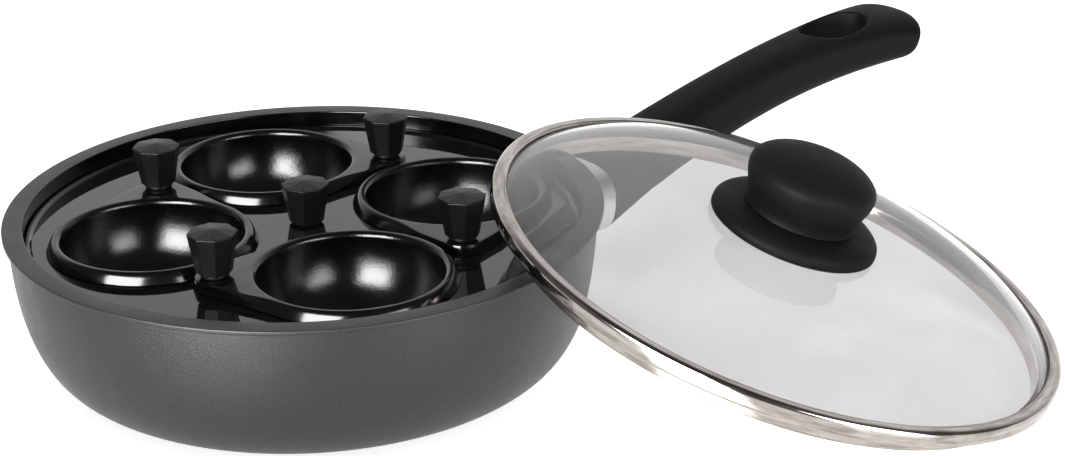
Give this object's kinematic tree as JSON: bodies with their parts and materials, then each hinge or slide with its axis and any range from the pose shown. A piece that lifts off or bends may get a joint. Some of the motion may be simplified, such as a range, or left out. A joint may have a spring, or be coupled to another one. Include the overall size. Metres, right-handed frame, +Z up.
{
  "type": "egg poacher pan",
  "caption": "Low round pan with a flat rim and a long handle, holding a poaching plate with lift-out egg cups; its domed glass lid leans on the rim.",
  "frame": {"origin": "centre of the pan's flat base, on the surface it stands on", "axes": "+Z up along the pan's axis, +X towards the lid, to the right in the picture, +Y away from the viewer"},
  "size_m": [0.3708, 0.3111, 0.0839],
  "materials": {
    "coating": "satin dark grey speckled coating on aluminium, with the flat rim left a lighter grey",
    "nonstick": "gloss black non-stick coating on aluminium sheet",
    "plastic": "matte black heat-resistant plastic",
    "steel": "polished stainless steel",
    "guard": "satin light metal",
    "brass": "turned brass",
    "silicone": "translucent silicone",
    "glass": "clear tempered glass"
  },
  "bodies": {
    "pan": {"pan_body": "coating", "handle_bracket": "steel", "flame_guard": "guard", "handle": "plastic", "handle_screw": "steel", "handle_screw_washer": "steel"},
    "plate": {"poaching_plate": "nonstick", "plate_knob": "plastic", "plate_knob_washer": "steel", "plate_knob_screw": "steel"},
    "cup_right": {"egg_cup_right": "nonstick", "cup_knob_right": "plastic", "cup_knob_right_washer": "steel", "cup_knob_right_screw": "steel"},
    "cup_back": {"egg_cup_back": "nonstick", "cup_knob_back": "plastic", "cup_knob_back_washer": "steel", "cup_knob_back_screw": "steel"},
    "cup_left": {"egg_cup_left": "nonstick", "cup_knob_left": "plastic", "cup_knob_left_washer": "steel", "cup_knob_left_screw": "steel"},
    "cup_front": {"egg_cup_front": "nonstick", "cup_knob_front": "plastic", "cup_knob_front_washer": "steel", "cup_knob_front_screw": "steel"},
    "lid": {"lid_band": "steel", "lid_glass": "glass", "lid_gasket": "silicone", "lid_knob_skirt": "plastic", "lid_knob_top": "plastic", "lid_knob_insert": "brass", "lid_knob_washer": "steel", "lid_knob_screw": "steel"}
  },
  "joints": [
    {"name": "plate_lift", "type": "slide", "parent": "pan", "child": "plate", "axis": [0, 0, 1], "range_m": [0, 0.06]},
    {"name": "cup_right_lift", "type": "slide", "parent": "plate", "child": "cup_right", "axis": [0, 0, 1], "range_m": [0, 0.05]},
    {"name": "cup_back_lift", "type": "slide", "parent": "plate", "child": "cup_back", "axis": [0, 0, 1], "range_m": [0, 0.05]},
    {"name": "cup_left_lift", "type": "slide", "parent": "plate", "child": "cup_left", "axis": [0, 0, 1], "range_m": [0, 0.05]},
    {"name": "cup_front_lift", "type": "slide", "parent": "plate", "child": "cup_front", "axis": [0, 0, 1], "range_m": [0, 0.05]},
    {"name": "lid_lift", "type": "slide", "parent": "cup_right", "child": "lid", "axis": [0, 0, 1], "range_m": [0, 0.1]}
  ]
}
